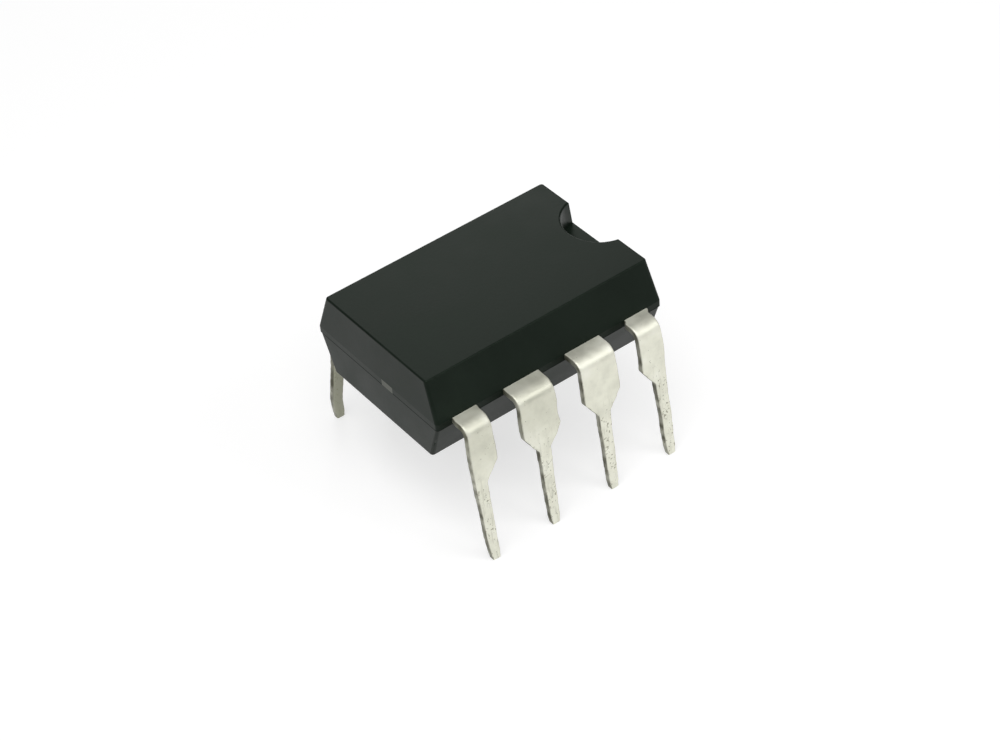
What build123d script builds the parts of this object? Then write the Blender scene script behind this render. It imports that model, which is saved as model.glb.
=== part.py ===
"""Dual in-line integrated circuit: a moulded epoxy body on eight formed leads, with its
paddle, die and bond wires inside.

Frame: millimetres, +Z up. The origin is on the plane the lead tips stand on, below the middle
of the body. +X runs along the body towards the pin-one notch, and the lead rows are at +Y and -Y.
"""
from build123d import *
import os
from math import atan2, cos, degrees, radians, tan

# ---------------------------------------------------------------- lead grid
PITCH = 2.54                    # lead to lead along a row, the standard 0.1 inch
LEADS_PER_ROW = 4

# ---------------------------------------------------------------- moulded body
END_MARGIN = 0.865              # outermost lead's centre to the end of the body
BODY_WIDTH = 6.74               # across the parting line, without the leads
UPPER_HEIGHT = 1.48             # parting line to top face
LOWER_HEIGHT = 1.50             # lead frame to underside
SIDE_DRAFT = 20.5               # degrees, long sides, both mould halves
UPPER_END_DRAFT = 4.0           # degrees, short ends above the parting line
LOWER_END_DRAFT = 1.0           # degrees, short ends below it
LOWER_STEP = 0.02               # how far the lower half sits inside the parting band
CORNER_RADIUS = 0.12            # upright corners
EDGE_RADIUS = 0.06              # rims of the top face, underside and notch

NOTCH_RADIUS = 1.38             # at the top face
NOTCH_REACH = 1.05              # from the top face's end into the body
NOTCH_DEPTH = 0.87              # top face to notch floor
NOTCH_DRAFT = 5.0               # degrees

# ---------------------------------------------------------------- lead frame, stamped sheet
SHEET = 0.25                    # thickness of the copper alloy sheet
SHOULDER_WIDTH = 1.48           # wide upper part of a lead
CORNER_HALF = 0.26              # a corner lead's outer half, which has no shoulder
NECK_WIDTH = 0.50               # where the narrow part begins
SHANK_WIDTH = 0.36              # where the tip taper begins
TIP_WIDTH = 0.20                # cut end
TIP_TAPER = 0.40                # length of the taper
LEAD_REACH = 0.82               # body side to the lead's outer face, at the parting line
BEND_INNER_RADIUS = 0.20
SPLAY = 5.7                     # degrees, each row leans outwards
SHOULDER_DROP = 1.64            # frame top to the end of the wide part
NECK_DROP = 2.38                # frame top to the start of the narrow part
TIP_DROP = 5.61                 # frame top to the cut end

FINGER_WIDTH = 0.70             # inner end that takes the bond wire
FINGER_GAP = 0.30               # finger end to paddle edge
FINGER_LENGTH = 0.60            # straight end of a middle finger, before it widens
ARM_WIDTH = 0.55                # a corner lead's inner arm
ARM_CLEARANCE = 0.30            # arm to tie bar
ANCHOR_HOLE = 0.45              # epoxy grows through this hole and locks the lead
ANCHOR_INSET = 0.55             # body side to the hole's centre

PADDLE_LENGTH = 3.60
PADDLE_WIDTH = 2.60
DOWNSET = 0.20                  # the paddle sits this far below the fingers
DOWNSET_RUN = 0.30              # length of the slope that lowers it
TIE_BAR_WIDTH = 0.60
TIE_BAR_Y = -0.60               # the two tie bars lie off the centre line

# ---------------------------------------------------------------- die and wires
DIE_LENGTH, DIE_WIDTH, DIE_HEIGHT = 1.60, 1.30, 0.28
ATTACH_MARGIN = 0.06            # die attach squeezed out round the die
ATTACH_HEIGHT = 0.03
PAD_INSET = 0.14                # die edge to bond pad centre
WIRE_DIAMETER = 0.038
BALL_DIAMETER, BALL_HEIGHT = 0.095, 0.030
LOOP_HEIGHT = 0.20              # wire above the die
LOOP_RADIUS = 0.09
LOOP_FLAT = 0.40                # share of the span that runs level before the wire comes down
STITCH_LENGTH, STITCH_WIDTH, STITCH_HEIGHT = 0.15, 0.09, 0.045
STITCH_INSET = 0.16             # finger end to stitch centre

# ---------------------------------------------------------------- derived places
BODY_LENGTH = (LEADS_PER_ROW - 1) * PITCH + 2 * END_MARGIN
LEAD_X = [(i - (LEADS_PER_ROW - 1) / 2) * PITCH for i in range(LEADS_PER_ROW)]
FRAME_TOP = TIP_DROP            # height of the parting line over the standing plane
FRAME_BOTTOM = FRAME_TOP - SHEET
BODY_TOP = FRAME_TOP + UPPER_HEIGHT
BODY_SIDE = BODY_WIDTH / 2
BODY_END = BODY_LENGTH / 2
LEAD_FACE = BODY_SIDE + LEAD_REACH
FINGER_END = PADDLE_WIDTH / 2 + FINGER_GAP
ARM_END = PADDLE_LENGTH / 2 + FINGER_GAP
ARM_LOW = abs(TIE_BAR_Y) + TIE_BAR_WIDTH / 2 + ARM_CLEARANCE
PADDLE_TOP = FRAME_TOP - DOWNSET
DIE_BOTTOM = PADDLE_TOP + ATTACH_HEIGHT
DIE_TOP = DIE_BOTTOM + DIE_HEIGHT


def is_corner(x):
    """Whether the lead at x is the first or last of its row."""
    return abs(x) > (LEADS_PER_ROW / 2 - 1) * PITCH


def mould_half(base_z, height, step, end_draft):
    """One drafted half of the body: height is positive upwards, step shrinks its base."""
    side_inset = abs(height) * tan(radians(SIDE_DRAFT))
    end_inset = abs(height) * tan(radians(end_draft))
    length, width = BODY_LENGTH - 2 * step, BODY_WIDTH - 2 * step
    base = Pos(0, 0, base_z) * RectangleRounded(length, width, CORNER_RADIUS)
    far = Pos(0, 0, base_z + height) * RectangleRounded(
        length - 2 * end_inset, width - 2 * side_inset, CORNER_RADIUS)
    return loft([base.face(), far.face()], ruled=True)


def notch_cutter():
    """Tapered half-round pocket that marks the pin-one end."""
    top_end = BODY_END - UPPER_HEIGHT * tan(radians(UPPER_END_DRAFT))
    axis_x = top_end - NOTCH_REACH + NOTCH_RADIUS
    floor_radius = NOTCH_RADIUS - NOTCH_DEPTH * tan(radians(NOTCH_DRAFT))
    floor_z = BODY_TOP - NOTCH_DEPTH
    return Pos(axis_x, 0, floor_z) * Cone(
        floor_radius, NOTCH_RADIUS, NOTCH_DEPTH, align=(Align.CENTER, Align.CENTER, Align.MIN))


def moulded_block():
    """The body's outer shape, before anything is encapsulated in it."""
    upper = mould_half(FRAME_TOP, UPPER_HEIGHT, 0, UPPER_END_DRAFT)
    band = Pos(0, 0, FRAME_BOTTOM) * extrude(
        RectangleRounded(BODY_LENGTH, BODY_WIDTH, CORNER_RADIUS), SHEET)
    lower = mould_half(FRAME_BOTTOM, -LOWER_HEIGHT, LOWER_STEP, LOWER_END_DRAFT)
    upper -= notch_cutter()
    upper = fillet(upper.faces().sort_by(Axis.Z)[-1].outer_wire().edges(), EDGE_RADIUS)
    lower = fillet(lower.faces().sort_by(Axis.Z)[0].outer_wire().edges(), EDGE_RADIUS)
    return upper + band + lower


def lead_outline(inner_half, outer_half):
    """Front view of the part of a lead that hangs below the bend, as a face in X and Z."""
    half_neck, half_shank, half_tip = NECK_WIDTH / 2, SHANK_WIDTH / 2, TIP_WIDTH / 2
    shoulder_z = FRAME_TOP - SHOULDER_DROP
    neck_z = FRAME_TOP - NECK_DROP
    right = [(inner_half, FRAME_TOP), (inner_half, shoulder_z), (half_neck, neck_z),
             (half_shank, TIP_TAPER), (half_tip, 0)]
    left = [(-half_tip, 0), (-half_shank, TIP_TAPER), (-half_neck, neck_z),
            (-outer_half, shoulder_z), (-outer_half, FRAME_TOP)]
    return Plane.XZ * make_face(Polyline(*right, *left, close=True))


def formed_strip():
    """A strip of the sheet, wider than any lead, bent down and splayed, from the body's side."""
    lean = tan(radians(SPLAY))
    half = SHEET / 2
    centre_z = FRAME_TOP - half
    centre_y = LEAD_FACE - half / cos(radians(SPLAY)) + half * lean
    path = FilletPolyline(
        (BODY_SIDE, centre_z), (centre_y, centre_z), (centre_y + 2 * centre_z * lean, -centre_z),
        radius=BEND_INNER_RADIUS + half)
    profile = Plane.YZ * trace(path, SHEET)
    return extrude(profile, SHOULDER_WIDTH, both=True)


def outer_lead(inner_half, outer_half):
    """The part of a lead outside the body, centred on x = 0 in the +Y row."""
    outline = lead_outline(inner_half, outer_half)
    return formed_strip() & extrude(outline, 2 * LEAD_FACE, both=True)


def sheet_piece(points):
    """A flat piece of the lead frame with the given plan."""
    return Pos(0, 0, FRAME_BOTTOM) * extrude(make_face(Polyline(*points, close=True)), SHEET)


def middle_finger():
    """Inner end of a lead that faces the paddle's long edge, centred on x = 0."""
    half, tip = SHOULDER_WIDTH / 2, FINGER_WIDTH / 2
    widens = FINGER_END + FINGER_LENGTH
    side = [(half, BODY_SIDE), (half, widens + half - tip), (tip, widens), (tip, FINGER_END)]
    return sheet_piece(side + [(-x, y) for x, y in reversed(side)])


def corner_finger(lead_x):
    """Inner end of a corner lead: a post that turns towards the paddle's corner.
    Its inner edge is at +X, as on the lead at the -X end of the row."""
    half = SHOULDER_WIDTH / 2
    reach = lead_x - ARM_END
    arm_top = ARM_LOW + ARM_WIDTH
    mitre = CORNER_HALF + half - ARM_WIDTH
    points = [(half, BODY_SIDE), (half, arm_top), (reach, arm_top), (reach, ARM_LOW),
              (mitre - CORNER_HALF, ARM_LOW), (-CORNER_HALF, ARM_LOW + mitre),
              (-CORNER_HALF, BODY_SIDE)]
    return sheet_piece(points)


def lead(x, row):
    """One lead at x in the row at +Y (row = 1) or -Y (row = -1)."""
    half = SHOULDER_WIDTH / 2
    outer_half = CORNER_HALF if is_corner(x) else half
    inner = corner_finger(abs(x)) if is_corner(x) else middle_finger()
    hole_x = (half - outer_half) / 2
    hole = Pos(hole_x, BODY_SIDE - ANCHOR_INSET, FRAME_BOTTOM) * Cylinder(
        ANCHOR_HOLE / 2, SHEET, align=(Align.CENTER, Align.CENTER, Align.MIN))
    piece = outer_lead(half, outer_half) + inner - hole
    if x > 0:
        piece = mirror(piece, about=Plane.YZ)
    if row < 0:
        piece = mirror(piece, about=Plane.XZ)
    return Pos(x, 0, 0) * piece


def die_paddle():
    """The paddle with its two tie bars, which slope up to the frame and end at the body's ends."""
    half = PADDLE_LENGTH / 2
    top = [(-BODY_END, FRAME_TOP), (-half - DOWNSET_RUN, FRAME_TOP), (-half, PADDLE_TOP),
           (half, PADDLE_TOP), (half + DOWNSET_RUN, FRAME_TOP), (BODY_END, FRAME_TOP)]
    bottom = [(x, z - SHEET) for x, z in reversed(top)]
    ribbon = Plane.XZ * make_face(Polyline(*top, *bottom, close=True))
    bars = Pos(0, TIE_BAR_Y, 0) * extrude(ribbon, TIE_BAR_WIDTH / 2, both=True)
    plate = Pos(0, 0, PADDLE_TOP - SHEET / 2) * Box(PADDLE_LENGTH, PADDLE_WIDTH, SHEET)
    return bars + plate


def slab(length, width, z, height):
    """A plain block centred on the body's axis, standing on z."""
    return Pos(0, 0, z) * Box(length, width, height, align=(Align.CENTER, Align.CENTER, Align.MIN))


def bond_wire(x, row):
    """Gold wire from a ball on the die to a stitch on the lead at x in the given row."""
    end = 1 if x > 0 else -1
    pad_x, pad_y = DIE_LENGTH / 2 - PAD_INSET, DIE_WIDTH / 2 - PAD_INSET
    if is_corner(x):
        pad = Vector(end * pad_x, row * pad_y)
        foot = Vector(end * (ARM_END + STITCH_INSET), row * (ARM_LOW + ARM_WIDTH / 2))
    else:
        pad = Vector(end * pad_x / 2, row * pad_y)
        foot = Vector(x, row * (FINGER_END + STITCH_INSET))
    run = foot - pad
    span, heading = run.length, degrees(atan2(run.Y, run.X))
    peak = DIE_TOP + LOOP_HEIGHT
    path = FilletPolyline(
        (0, DIE_TOP + BALL_HEIGHT / 2), (0, peak), (LOOP_FLAT * span, peak),
        (span, FRAME_TOP + STITCH_HEIGHT / 2), radius=LOOP_RADIUS)
    wire = sweep(Plane(path @ 0, z_dir=path % 0) * Circle(WIRE_DIAMETER / 2), path=path)
    wire = Rotation(90, 0, 0) * wire
    ball = Pos(0, 0, DIE_TOP) * Cylinder(
        BALL_DIAMETER / 2, BALL_HEIGHT, align=(Align.CENTER, Align.CENTER, Align.MIN))
    stitch = Pos(span, 0, FRAME_TOP) * Box(
        STITCH_LENGTH, STITCH_WIDTH, STITCH_HEIGHT, align=(Align.CENTER, Align.CENTER, Align.MIN))
    return Pos(pad.X, pad.Y, 0) * Rotation(0, 0, heading) * (wire + ball + stitch)


def build():
    """Every piece by name. The body comes last: it is moulded round all the others."""
    # Leads count from the notch down the +Y row, then back up the -Y row.
    places = [(x, 1) for x in reversed(LEAD_X)] + [(x, -1) for x in LEAD_X]
    pieces = {}
    for number, (x, row) in enumerate(places, start=1):
        pieces[f"lead_{number}"] = lead(x, row)
    pieces["die_paddle"] = die_paddle()
    pieces["die_attach"] = slab(
        DIE_LENGTH + 2 * ATTACH_MARGIN, DIE_WIDTH + 2 * ATTACH_MARGIN, PADDLE_TOP, ATTACH_HEIGHT)
    pieces["silicon_die"] = slab(DIE_LENGTH, DIE_WIDTH, DIE_BOTTOM, DIE_HEIGHT)
    for number, (x, row) in enumerate(places, start=1):
        pieces[f"bond_wire_{number}"] = bond_wire(x, row)
    body = moulded_block()
    for piece in pieces.values():
        body -= piece
    pieces["package_body"] = body
    return pieces


os.makedirs("parts", exist_ok=True)
for name, piece in build().items():
    export_step(piece, f"parts/{name}.step")
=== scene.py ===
# %% [markdown]
# # A dual in-line chip, finished in Blender
# The construction model gives every piece of this chip at its true size: a moulded body, eight
# leads, and the paddle, die and wires inside. Here the visible pieces get their real surfaces.
# Everything is in metres, in the same frame: +X towards the notch, +Z up, lead tips on z = 0.

# %% Load the frame
import bpy
import bmesh
from math import cos, pi, radians, sin
from mathutils import Matrix, Quaternion, Vector, noise


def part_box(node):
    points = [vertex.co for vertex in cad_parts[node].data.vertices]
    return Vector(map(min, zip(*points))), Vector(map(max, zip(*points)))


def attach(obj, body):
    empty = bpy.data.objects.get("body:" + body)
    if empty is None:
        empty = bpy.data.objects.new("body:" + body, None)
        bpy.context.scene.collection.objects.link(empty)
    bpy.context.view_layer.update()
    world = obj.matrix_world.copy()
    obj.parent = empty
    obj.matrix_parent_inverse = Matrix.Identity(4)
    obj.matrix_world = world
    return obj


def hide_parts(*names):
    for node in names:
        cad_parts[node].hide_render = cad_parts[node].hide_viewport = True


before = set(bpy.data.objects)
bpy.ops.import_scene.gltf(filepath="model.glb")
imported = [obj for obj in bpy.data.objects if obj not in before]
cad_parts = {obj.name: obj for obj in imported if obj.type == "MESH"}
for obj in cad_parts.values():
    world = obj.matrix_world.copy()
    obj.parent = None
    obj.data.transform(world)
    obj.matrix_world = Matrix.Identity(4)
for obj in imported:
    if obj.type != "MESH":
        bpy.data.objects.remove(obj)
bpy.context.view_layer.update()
MM = 0.001

# %% [markdown]
# ## Three small helpers
# Colours are written as web hex values, which are sRGB, while the shader works in linear light, so
# one function converts them. A second adds a shader node with its settings and links in one line.
# A third starts a material with an empty Principled shader.

# %% Helpers
def linear(hex_colour):
    """A web colour such as #a0b0c0 as linear RGBA."""
    parts = [int(hex_colour[i:i + 2], 16) / 255 for i in (1, 3, 5)]
    return tuple(c / 12.92 if c <= 0.04045 else ((c + 0.055) / 1.055) ** 2.4 for c in parts) + (1.0,)


def add(tree, kind, settings=None, stops=(), **links):
    """Adds a node. settings are its attributes, stops the (place, grey or hex) pairs of a colour
    ramp, and links its inputs, as values or as sockets."""
    node = tree.nodes.new(kind)
    for key, value in (settings or {}).items():
        setattr(node, key, value)
    for key, value in links.items():
        socket = node.inputs[int(key[1:])] if key[0] == "i" and key[1:].isdigit() else node.inputs[
            key.replace("_", " ")]
        if isinstance(value, bpy.types.NodeSocket):
            tree.links.new(value, socket)
        else:
            socket.default_value = value
    if stops:
        elements = node.color_ramp.elements
        while len(elements) < len(stops):
            elements.new(0.5)
        for element, (position, value) in zip(elements, stops):
            element.position = position
            element.color = linear(value) if isinstance(value, str) else (value, value, value, 1)
    return node


def new_material(name, metallic, roughness, colour):
    """A material whose Principled shader starts from plain values. Gives its tree and shader."""
    material = bpy.data.materials.new(name)
    material.use_nodes = True
    tree = material.node_tree
    shader = tree.nodes["Principled BSDF"]
    shader.inputs["Metallic"].default_value = metallic
    shader.inputs["Roughness"].default_value = roughness
    shader.inputs["Base Color"].default_value = linear(colour)
    return material, tree, shader


print("helpers: linear, add, new_material")

# %% [markdown]
# ## Camera
# A long lens held close to a thing of a few millimetres gives strong convergence, so both the
# distance and the focal length matter. The camera looks down from the near left.

# %% Camera
VIEW_AZIMUTH, VIEW_ELEVATION, VIEW_ROLL = radians(-33.70), radians(41.44), radians(-5.54)
VIEW_DISTANCE = 85.63 * MM
LOOK_AT = Vector((0.0, -0.30, 3.19)) * MM
back = Vector((sin(VIEW_AZIMUTH) * cos(VIEW_ELEVATION), -cos(VIEW_AZIMUTH) * cos(VIEW_ELEVATION),
               sin(VIEW_ELEVATION)))
camera_data = bpy.data.cameras.new("camera")
camera_data.lens = 90.43
camera_data.sensor_width = 36
camera_data.clip_start, camera_data.clip_end = 1 * MM, 10
camera = bpy.data.objects.new("camera", camera_data)
bpy.context.scene.collection.objects.link(camera)
camera.rotation_mode = "QUATERNION"
camera.location = LOOK_AT + back * VIEW_DISTANCE
camera.rotation_quaternion = back.to_track_quat("Z", "Y") @ Quaternion((0, 0, 1), VIEW_ROLL)
bpy.context.scene.camera = camera
bpy.context.scene.view_settings.view_transform = "Standard"
print("camera at mm", [round(v / MM, 1) for v in camera.location])

# %% [markdown]
# ## Floor and light
# A matt white floor, one large soft lamp over the chip's far left, and an even grey surround. The
# floor shows a little brighter to the eye and in reflections than it lights the chip, which
# keeps the ground white without washing out the black body.

# %% Floor, lamps and surround
def lamp(name, place, size, power, colour="#ffffff"):
    """A square soft lamp at a place in mm, aimed at the chip."""
    data = bpy.data.lights.new(name, "AREA")
    data.shape, data.size, data.energy = "SQUARE", size * MM, power
    data.color = linear(colour)[:3]
    made = bpy.data.objects.new(name, data)
    bpy.context.scene.collection.objects.link(made)
    made.location = Vector(place) * MM
    made.rotation_mode = "QUATERNION"
    made.rotation_quaternion = (made.location - LOOK_AT).to_track_quat("Z", "Y")
    return made


bpy.ops.object.select_all(action="DESELECT")
bpy.ops.mesh.primitive_circle_add(vertices=128, radius=0.6, fill_type="NGON")
floor = bpy.context.object
floor.name = "floor"
paper, tree, shader = new_material("white_paper_floor", 0, 0.9, "#b8b8b8")
shader.inputs["Specular IOR Level"].default_value = 0
seen = add(tree, "ShaderNodeLightPath")
eye = add(tree, "ShaderNodeMath", {"operation": "ADD"}, i0=seen.outputs["Is Camera Ray"],
          i1=seen.outputs["Is Glossy Ray"])
eye = add(tree, "ShaderNodeMath", {"operation": "ADD"}, i0=eye.outputs[0],
          i1=seen.outputs["Is Transmission Ray"])
glow = add(tree, "ShaderNodeMath", {"operation": "MULTIPLY"}, i0=eye.outputs[0], i1=0.63)
glow = add(tree, "ShaderNodeEmission", Color=linear("#ffffff"), Strength=glow.outputs[0])
both = add(tree, "ShaderNodeAddShader", i0=shader.outputs[0], i1=glow.outputs[0])
tree.links.new(both.outputs[0], tree.nodes["Material Output"].inputs["Surface"])
floor.data.materials.append(paper)

lamp("key", (-25, -25, 85), 70, 0.050)
lamp("back sheen", (54, 92, 62), 46, 0.022)
lamp("front glint", (55, -88, 82), 60, 0.036)
world = bpy.data.worlds.new("grey_surround")
world.use_nodes = True
world.node_tree.nodes["Background"].inputs["Color"].default_value = (0.24, 0.24, 0.24, 1)
bpy.context.scene.world = world
print("lamps and floor ready")

# %% [markdown]
# ## Solder on a lead
# The leads are stamped from thin copper alloy and dipped in molten solder, which freezes as a warm
# white satin coat with a dull skin of oxide, dross specks and scrapes on the narrow ends. It could
# be a bare metal, but that mirrors its surround too sharply, so the shader is a little over half
# metal. Slow noise moves its roughness, fine noise its bump, and dark specks come in low down.

# %% Material: hot-dipped solder
def solder_coat():
    """Tin-lead solder: a satin warm white metal with dross specks low down."""
    material, tree, shader = new_material("hot_dipped_solder", 0.6, 0.5, "#f0f0df")
    place = add(tree, "ShaderNodeTexCoord").outputs["Object"]
    slow = add(tree, "ShaderNodeTexNoise", Vector=place, Scale=1300, Detail=3, Roughness=0.55)
    shade = add(tree, "ShaderNodeValToRGB", stops=[(0.3, "#e2e2d2"), (0.5, "#f2f2e2"), (0.7, "#fbfbee")],
                Fac=slow.outputs["Fac"]).outputs["Color"]
    # Specks: two noises, about 0.08 mm, kept to the lower part and thinned by a slow patch noise.
    fine = add(tree, "ShaderNodeTexNoise", Vector=place, Scale=11000, Detail=2, Roughness=0.6)
    patch = add(tree, "ShaderNodeTexNoise", Vector=place, Scale=1900, Detail=1)
    split = add(tree, "ShaderNodeSeparateXYZ", Vector=place)
    low = add(tree, "ShaderNodeMapRange", {"interpolation_type": "SMOOTHSTEP"},
              Value=split.outputs["Z"], From_Min=4.7 * MM, From_Max=2.6 * MM, To_Min=0.0, To_Max=0.11)
    total = add(tree, "ShaderNodeMath", {"operation": "MULTIPLY_ADD"}, i0=patch.outputs["Fac"],
               i1=0.22, i2=fine.outputs["Fac"])
    total = add(tree, "ShaderNodeMath", {"operation": "ADD"}, i0=total.outputs[0], i1=low.outputs[0])
    speck = add(tree, "ShaderNodeValToRGB", stops=[(0.0, 0.0), (0.82, 0.0), (0.90, 1.0)],
                Fac=total.outputs[0]).outputs["Color"]
    # Scrapes run down the narrow ends: noise stretched eight times along Z.
    along = add(tree, "ShaderNodeMapping", Vector=place, Scale=(1, 1, 0.12))
    scrape = add(tree, "ShaderNodeTexNoise", Vector=along.outputs[0], Scale=9000, Detail=2)
    scrape = add(tree, "ShaderNodeValToRGB", stops=[(0.56, 0.0), (0.66, 1.0)],
                 Fac=scrape.outputs["Fac"]).outputs["Color"]
    scraped = add(tree, "ShaderNodeMath", {"operation": "MULTIPLY"}, i0=scrape, i1=low.outputs[0])
    dark = add(tree, "ShaderNodeMath", {"operation": "MULTIPLY_ADD", "use_clamp": True},
               i0=scraped.outputs[0], i1=2.2, i2=speck)
    colour = add(tree, "ShaderNodeMix", {"data_type": "RGBA"}, i0=dark.outputs[0], i6=shade,
                 i7=linear("#a3a18c"))
    # The ±X sides are drawn darker, partly for the thin solder on sheared edges and partly as painted
    # shade of sides that look into the shadow under the chip; the faces that look inwards under the body
    # carry painted shade, and some leads are drawn greyer towards the top.
    edge = add(tree, "ShaderNodeAttribute", {"attribute_name": "sheared_edge_and_side_shade"})
    colour = add(tree, "ShaderNodeMix", {"data_type": "RGBA"}, i0=edge.outputs["Fac"],
                 i6=colour.outputs[2], i7=linear("#4f4e3c"))
    dull = add(tree, "ShaderNodeAttribute", {"attribute_name": "inner_shade_and_grey_top"})
    colour = add(tree, "ShaderNodeMix", {"data_type": "RGBA"}, i0=dull.outputs["Fac"],
                 i6=colour.outputs[2], i7=linear("#94957f"))
    tree.links.new(colour.outputs[2], shader.inputs["Base Color"])
    rough = add(tree, "ShaderNodeMapRange", Value=slow.outputs["Fac"], From_Min=0.3, From_Max=0.7,
                To_Min=0.42, To_Max=0.56)
    tree.links.new(rough.outputs[0], shader.inputs["Roughness"])
    grain = add(tree, "ShaderNodeTexNoise", Vector=place, Scale=5200, Detail=4, Roughness=0.6)
    height = add(tree, "ShaderNodeMath", {"operation": "MULTIPLY_ADD"}, i0=dark.outputs[0],
                 i1=-0.6, i2=grain.outputs["Fac"])
    bump = add(tree, "ShaderNodeBump", Strength=0.3, Distance=0.008 * MM, Height=height.outputs[0])
    tree.links.new(bump.outputs[0], shader.inputs["Normal"])
    return material


solder = solder_coat()
print("solder coat:", len(solder.node_tree.nodes), "nodes")

# %% [markdown]
# ## Shape of a lead
# A lead starts as a finger of flat sheet inside the body, comes out at the parting line, is bent
# down and narrows from a wide shoulder to a blunt tip. It is modelled the same way: one block, its
# end face pulled out, spun round the bend and pulled down, narrower at each stage. The work is
# done at a thousand times the size, because blocks of a fraction of a millimetre fall under the
# tools' merging distance, and the mesh is scaled down at the end.

# %% Sizes of a lead, in mm
# Splay, bend radii and pitch are the stamping tool's; the rest is read from the frame.
SPLAY = radians(5.7)
BEND_OUTER, BEND_INNER = 0.45, 0.20
PITCH = 2.54
body_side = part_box("package_body")[1][1] / MM
middle_box = [[v / MM for v in corner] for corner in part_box("lead_2")]
corner_box = [[v / MM for v in corner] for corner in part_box("lead_1")]
frame_top = middle_box[1][2]
sheet = BEND_OUTER - BEND_INNER
shoulder_half = (middle_box[1][0] - middle_box[0][0]) / 2
lead_face = middle_box[1][1] - frame_top * sin(SPLAY) / cos(SPLAY)
bend_y = lead_face - (BEND_OUTER - BEND_OUTER * sin(SPLAY)) / cos(SPLAY)
bend_z = frame_top - BEND_OUTER
print("lead face at", round(lead_face, 3), "frame top", round(frame_top, 3))

# %% [markdown]
# ## Pulling metal in edit mode
# A formed strip is one section carried along a path. A curve with a bevel would do that too, but it
# can't change width in stages, so a block's end face is selected by its direction, pulled out, and
# narrowed about a line. Four small helpers keep each pull to one line.

# %% Helpers for edit mode
def start_block(name, low, high):
    """A block between two corners, in edit mode with nothing selected."""
    bpy.ops.object.select_all(action="DESELECT")
    centre = [(a + b) / 2 for a, b in zip(low, high)]
    bpy.ops.mesh.primitive_cube_add(size=1, location=centre, scale=[b - a for a, b in zip(low, high)])
    block = bpy.context.object
    block.name = name
    bpy.ops.object.transform_apply(location=True, rotation=True, scale=True)
    bpy.ops.object.mode_set(mode="EDIT")
    bpy.ops.mesh.select_mode(type="FACE")
    bpy.ops.mesh.select_all(action="DESELECT")
    return block


def pick_end(block, direction):
    """Selects the one face that lies farthest along a direction."""
    bpy.ops.mesh.select_all(action="DESELECT")
    mesh = bmesh.from_edit_mesh(block.data)
    way = Vector(direction)
    facing = [f for f in mesh.faces if f.normal.dot(way) > 0.9]
    far = max(facing, key=lambda f: f.calc_center_median().dot(way))
    far.select_set(True)
    mesh.faces.active = far
    bmesh.update_edit_mesh(block.data)


def pull(step, narrower=1.0, about=0.0):
    """Pulls the selected end face out by a step, then narrows it in X about a line."""
    bpy.ops.mesh.extrude_region_move(TRANSFORM_OT_translate={"value": step})
    if narrower != 1.0:
        bpy.ops.transform.resize(value=(narrower, 1, 1), center_override=(about, 0, 0))


def pull_down(from_z, to_z, narrower=1.0, about=0.0):
    """Pulls the selected end face down the splayed line between two heights."""
    drop = from_z - to_z
    pull((0, drop * sin(SPLAY) / cos(SPLAY), -drop), narrower, about)


print("edit-mode helpers: start_block, pick_end, pull, pull_down")

# %% [markdown]
# ## Bend, shoulder, neck and tip
# Outside the body the strip is spun round the bend in eight steps, then pulled down past the wide
# shoulder, which stops the chip on its board, and on to the narrow end that goes into the hole. A
# cut across at the standing plane gives the blunt tip. Molten solder rounds every stamped edge,
# so the mesh is made even, 0.03 mm to a face, and smoothed until its edges are soft.

# %% The part of a lead outside the body
def finish_lead(lead, half_in, half_out):
    """Bends the selected end down, narrows it in stages and cuts it flat."""
    bpy.ops.mesh.spin(steps=8, angle=pi / 2 - SPLAY, center=(0, bend_y, bend_z), axis=(1, 0, 0))
    stop = bend_z + (BEND_OUTER + BEND_INNER) / 2 * sin(SPLAY)
    wide, neck, shank, tip = half_in + half_out, 0.50, 0.40, 0.27
    about = (neck / 2 * (half_in - half_out)) / (half_in + half_out - neck)
    pull_down(stop, frame_top - 1.64)
    pull_down(frame_top - 1.64, frame_top - 2.38, neck / wide, -about)
    pull_down(frame_top - 2.38, 0.35, shank / neck)
    pull_down(0.35, -0.12, tip / shank)
    bpy.ops.mesh.select_all(action="SELECT")
    bpy.ops.mesh.bisect(plane_co=(0, 0, 0.002), plane_no=(0, 0, 1), use_fill=True, clear_inner=True)
    bpy.ops.mesh.select_all(action="SELECT")
    bpy.ops.mesh.remove_doubles(threshold=0.0005)
    bpy.ops.mesh.normals_make_consistent(inside=False)
    bpy.ops.object.mode_set(mode="OBJECT")
    return lead


def soften(lead):
    """Gives the sharp stamped strip a fine even mesh and the round edges of a solder dip."""
    remesh = lead.modifiers.new("even mesh", "REMESH")
    remesh.mode, remesh.voxel_size = "VOXEL", 0.03
    smooth = lead.modifiers.new("round edges", "SMOOTH")
    smooth.factor, smooth.iterations = 0.5, 16
    bpy.context.view_layer.objects.active = lead
    for modifier in ("even mesh", "round edges"):
        bpy.ops.object.modifier_apply(modifier=modifier)


print("bend radii in mm:", BEND_INNER, BEND_OUTER)

# %% [markdown]
# ## Two kinds of lead
# A middle lead starts from a straight finger that widens. A corner lead starts from an arm that
# reaches in to the paddle's corner, and its shoulder is cut away on the outer side, so its block is
# pulled twice: once sideways for the arm and once outwards. Both are modelled once, in the +Y row.

# %% The middle lead and the corner lead, modelled once each
finger = start_block("middle_lead", (-0.35, middle_box[0][1], frame_top - sheet),
                     (0.35, middle_box[0][1] + 0.60, frame_top))
pick_end(finger, (0, 1, 0))
pull((0, shoulder_half - 0.35, 0), shoulder_half / 0.35)
pull((0, bend_y - (middle_box[0][1] + 0.60 + shoulder_half - 0.35), 0))
middle_lead = finish_lead(finger, shoulder_half, shoulder_half)
soften(middle_lead)

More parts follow.
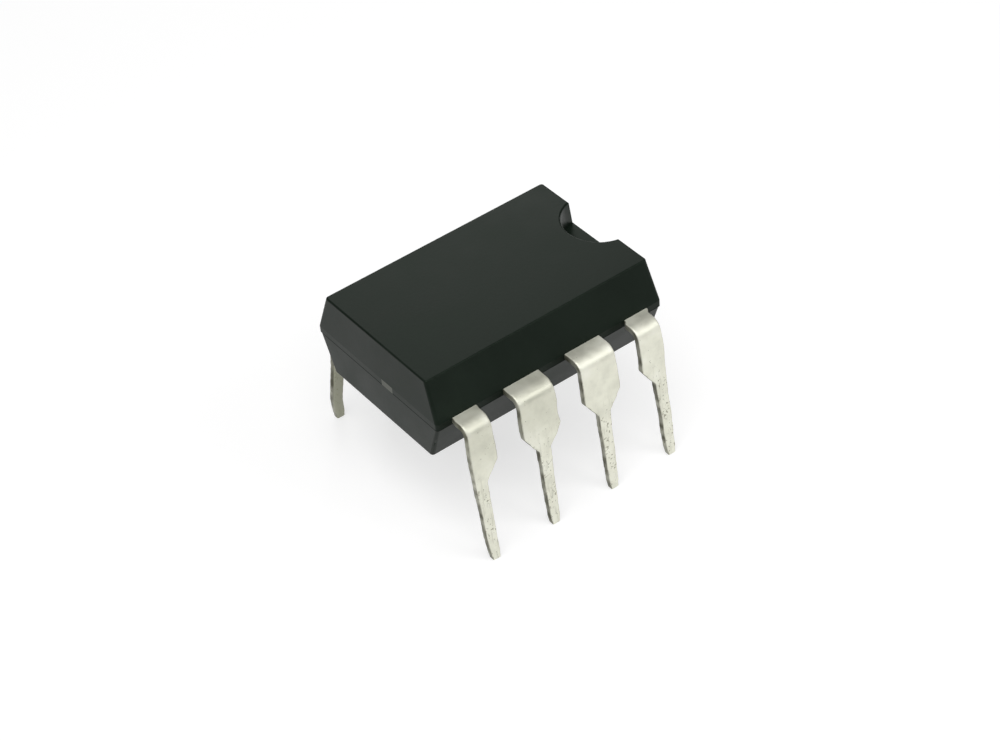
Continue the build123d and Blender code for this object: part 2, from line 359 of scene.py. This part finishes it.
corner_x = 1.5 * PITCH
corner_out = corner_box[1][0] - corner_x
arm_low = corner_box[0][1]
post = start_block("corner_lead", (-corner_out, arm_low, frame_top - sheet),
                   (shoulder_half, arm_low + 0.55, frame_top))
pick_end(post, (1, 0, 0))
pull((corner_x - corner_box[0][0] - shoulder_half, 0, 0))
bpy.ops.mesh.select_all(action="DESELECT")
mesh = bmesh.from_edit_mesh(post.data)
for face in mesh.faces:
    face.select_set(face.normal.y > 0.9 and face.calc_center_median().x < shoulder_half)
bmesh.update_edit_mesh(post.data)
pull((0, bend_y - (arm_low + 0.55), 0))
corner_lead = finish_lead(post, shoulder_half, corner_out)
soften(corner_lead)
print("middle lead", len(middle_lead.data.polygons), "faces, corner lead",
      len(corner_lead.data.polygons), "faces")

# %% [markdown]
# ## Eight leads, each a little different
# No two dipped leads are alike: the solder hangs thicker on one shoulder than the next, an edge
# wanders, a tip is nudged. Each copy gets its own small moves, from a noise whose seed is the lead's
# own number, so the result is always the same.

# %% Copies with their own small faults
# Per lead: sideways lean of the top, sideways move of the tip, thickness of the solder belly, all
# in mm, and how much greyer the lead is drawn towards its top.
CHARACTER = {1: (0.0, 0.02, 0.03, 0.1), 2: (0.02, -0.02, 0.05, 0.2), 3: (-0.01, 0.02, 0.03, 0.1),
             4: (0.24, 0.09, 0.02, 0.1), 5: (-0.05, 0.03, 0.05, 0.22), 6: (0.0, 0.0, 0.08, 0.22),
             7: (0.0, 0.01, 0.05, 0.0), 8: (-0.09, -0.02, 0.03, 0.0)}


def smoothstep(low, high, value):
    """0 below low, 1 above high, and an even slope between."""
    t = min(max((value - low) / (high - low), 0), 1)
    return t * t * (3 - 2 * t)


def place_lead(number, master, x, row):
    """A copy of the master lead at its place, with its own lumps and lean."""
    top_lean, tip_move, belly, grey = CHARACTER[number]
    mesh = master.data.copy()
    lead = bpy.data.objects.new(f"solder_lead_{number}", mesh)
    bpy.context.scene.collection.objects.link(lead)
    flip = -1 if x > 0 else 1
    normals = [v.normal.copy() for v in mesh.vertices]
    seed = Vector((number * 7.3, number * 3.1, number * 5.7))
    edge = mesh.attributes.new("sheared_edge_and_side_shade", "FLOAT", "POINT").data
    dull = mesh.attributes.new("inner_shade_and_grey_top", "FLOAT", "POINT").data
    for vertex, normal in zip(mesh.vertices, normals):
        spot = vertex.co.copy()
        # Painted shade, partly real: the ±X sides darken for thin solder on sheared edges and for the
        # shade they sit in.
        edge[vertex.index].value = smoothstep(0.5, 0.85, abs(normal.x)) * (
            0.75 + 0.5 * noise.noise(spot * 3 + seed))
        # Painted shade on faces that look in under the body, and a greyer top on some leads.
        inwards = smoothstep(0.4, 0.8, -normal.y) * smoothstep(body_side, body_side + 0.2, spot.y)
        dull[vertex.index].value = max(0.8 * inwards, grey * smoothstep(3.4, 4.8, spot.z))
        outside = smoothstep(body_side + 0.02, body_side + 0.2, spot.y)
        wide = smoothstep(3.0, 3.7, spot.z) * (1 - smoothstep(4.6, 5.2, spot.z))
        lump = noise.noise(spot * 1.1 + seed) * belly + belly * 0.6
        ripple = noise.noise(spot * 2.6 + seed) * 0.007
        move = normal * outside * (lump * wide * (1 if normal.y > 0.3 else 0.3) + ripple)
        drop = 1 - spot.z / frame_top
        sideways = top_lean * (1 - smoothstep(0.35, 0.95, drop)) + tip_move * smoothstep(0.8, 1, drop)
        wander = noise.noise(Vector((number * 2.7, 0, spot.z * 0.9))) * 0.035
        vertex.co = spot + move
        vertex.co.x = (vertex.co.x * flip) + outside * (sideways + wander)
        vertex.co.y = min(vertex.co.y, middle_box[1][1] - 0.002)
        vertex.co.z = max(vertex.co.z, 0.0)
    mesh.transform(Matrix.Scale(row, 4, (0, 1, 0)))
    mesh.transform(Matrix.Translation((x, 0, 0)))
    mesh.transform(Matrix.Scale(MM, 4))
    if flip * row < 0:
        mesh.flip_normals()
    bpy.ops.object.select_all(action="DESELECT")
    lead.select_set(True)
    bpy.context.view_layer.objects.active = lead
    bpy.ops.object.shade_smooth()
    mesh.materials.clear()
    mesh.materials.append(solder)
    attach(lead, "root")
    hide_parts(f"lead_{number}")
    return lead


for number in range(1, 9):
    column = number - 1 if number < 5 else 8 - number
    x, row = (1.5 - column) * PITCH, 1 if number < 5 else -1
    master = corner_lead if column in (0, 3) else middle_lead
    place_lead(number, master, x, row)
for master in (middle_lead, corner_lead):
    bpy.data.objects.remove(master)
print("eight leads placed")

# %% [markdown]
# ## Moulding compound
# The body is epoxy filled with fused silica, pressed in a steel mould whose spark-eroded walls leave
# a fine even grain. It is a greenish black plastic with a weak satin sheen, so the sheen is kept low
# and broken by grain, with faint flow marks. The mesh of the construction model is kept.

# %% Material: silica-filled epoxy
epoxy, tree, shader = new_material("silica_filled_epoxy", 0, 0.42, "#151d17")
shader.inputs["Specular IOR Level"].default_value = 0.17
shader.inputs["Specular Tint"].default_value = linear("#e0f2e0")
place = add(tree, "ShaderNodeTexCoord").outputs["Object"]
flow = add(tree, "ShaderNodeTexNoise", Vector=place, Scale=420, Detail=4, Roughness=0.6, Distortion=0.4)
shade = add(tree, "ShaderNodeValToRGB", stops=[(0.3, "#101812"), (0.55, "#151d17"), (0.75, "#1a231c")],
            Fac=flow.outputs["Fac"]).outputs["Color"]
filler = add(tree, "ShaderNodeTexVoronoi", Vector=place, Scale=14000)
fleck = add(tree, "ShaderNodeValToRGB", stops=[(0.0, 1.0), (0.10, 0.0)],
            Fac=filler.outputs["Distance"]).outputs["Color"]
shade = add(tree, "ShaderNodeMix", {"data_type": "RGBA"}, i0=fleck, i6=shade, i7=linear("#262d26"))
tree.links.new(shade.outputs[2], shader.inputs["Base Color"])
rough = add(tree, "ShaderNodeMapRange", Value=flow.outputs["Fac"], From_Min=0.3, From_Max=0.7,
            To_Min=0.33, To_Max=0.44)
tree.links.new(rough.outputs[0], shader.inputs["Roughness"])
# The parting line: the sheen is taken away in a hair-thin band just under the lead frame, a painted
# shadow line that stands in for the shade under the mould's step.
height = add(tree, "ShaderNodeSeparateXYZ", Vector=place)
offset = add(tree, "ShaderNodeMath", {"operation": "SUBTRACT"}, i0=height.outputs["Z"],
             i1=(frame_top - sheet - 0.01) * MM)
offset = add(tree, "ShaderNodeMath", {"operation": "ABSOLUTE"}, i0=offset.outputs[0])
sheen = add(tree, "ShaderNodeMapRange", Value=offset.outputs[0], From_Min=0.02 * MM,
            From_Max=0.05 * MM, To_Min=0.0, To_Max=0.145)
tree.links.new(sheen.outputs[0], shader.inputs["Specular IOR Level"])
grain = add(tree, "ShaderNodeTexNoise", Vector=place, Scale=9000, Detail=3, Roughness=0.6)
bump = add(tree, "ShaderNodeBump", Strength=0.25, Distance=0.006 * MM, Height=grain.outputs["Fac"])
tree.links.new(bump.outputs[0], shader.inputs["Normal"])
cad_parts["package_body"].data.materials[0] = epoxy
print("body material:", epoxy.name)

# %% [markdown]
# ## Inside the body, and the sheared tie bar
# The paddle is bare copper alloy. Only its tie bars reach daylight, as small cut stubs flush with
# the ends of the body, and there the solder has greyed them. The die is polished silicon on silver
# filled glue, and the wires are fine gold.

# %% Materials: copper alloy, silver glue, silicon, gold
def grained(name, metallic, roughness, light, dark, scale, bump_mm):
    """A plain fine-grained surface between two shades, for the pieces inside."""
    material, tree, shader = new_material(name, metallic, roughness, light)
    place = add(tree, "ShaderNodeTexCoord").outputs["Object"]
    grain = add(tree, "ShaderNodeTexNoise", Vector=place, Scale=scale, Detail=3, Roughness=0.6)
    shade = add(tree, "ShaderNodeValToRGB", stops=[(0.35, dark), (0.65, light)],
                Fac=grain.outputs["Fac"]).outputs["Color"]
    tree.links.new(shade, shader.inputs["Base Color"])
    bump = add(tree, "ShaderNodeBump", Strength=0.3, Distance=bump_mm * MM,
               Height=grain.outputs["Fac"])
    tree.links.new(bump.outputs[0], shader.inputs["Normal"])
    return material, tree, shader, place, shade


copper, tree, shader, place, shade = grained(
    "rolled_copper_alloy", 1, 0.35, "#c98a5e", "#b3734a", 6000, 0.004)
split = add(tree, "ShaderNodeSeparateXYZ", Vector=place)
reach = add(tree, "ShaderNodeMath", {"operation": "ABSOLUTE"}, i0=split.outputs["X"])
cut = add(tree, "ShaderNodeMath", {"operation": "GREATER_THAN"}, i0=reach.outputs[0], i1=4.6 * MM)
shade = add(tree, "ShaderNodeMix", {"data_type": "RGBA"}, i0=cut.outputs[0], i6=shade,
            i7=linear("#45483f"))
tree.links.new(shade.outputs[2], shader.inputs["Base Color"])
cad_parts["die_paddle"].data.materials[0] = copper
glue = grained("silver_filled_epoxy", 1, 0.6, "#b9b7b0", "#8f8d88", 9000, 0.01)[0]
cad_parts["die_attach"].data.materials[0] = glue
silicon = grained("polished_silicon", 1, 0.12, "#6f727a", "#666972", 2500, 0.0005)[0]
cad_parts["silicon_die"].data.materials[0] = silicon
gold = grained("drawn_gold_wire", 1, 0.2, "#f5c872", "#e8b860", 20000, 0.001)[0]
for number in range(1, 9):
    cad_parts[f"bond_wire_{number}"].data.materials[0] = gold
print("inner materials ready")
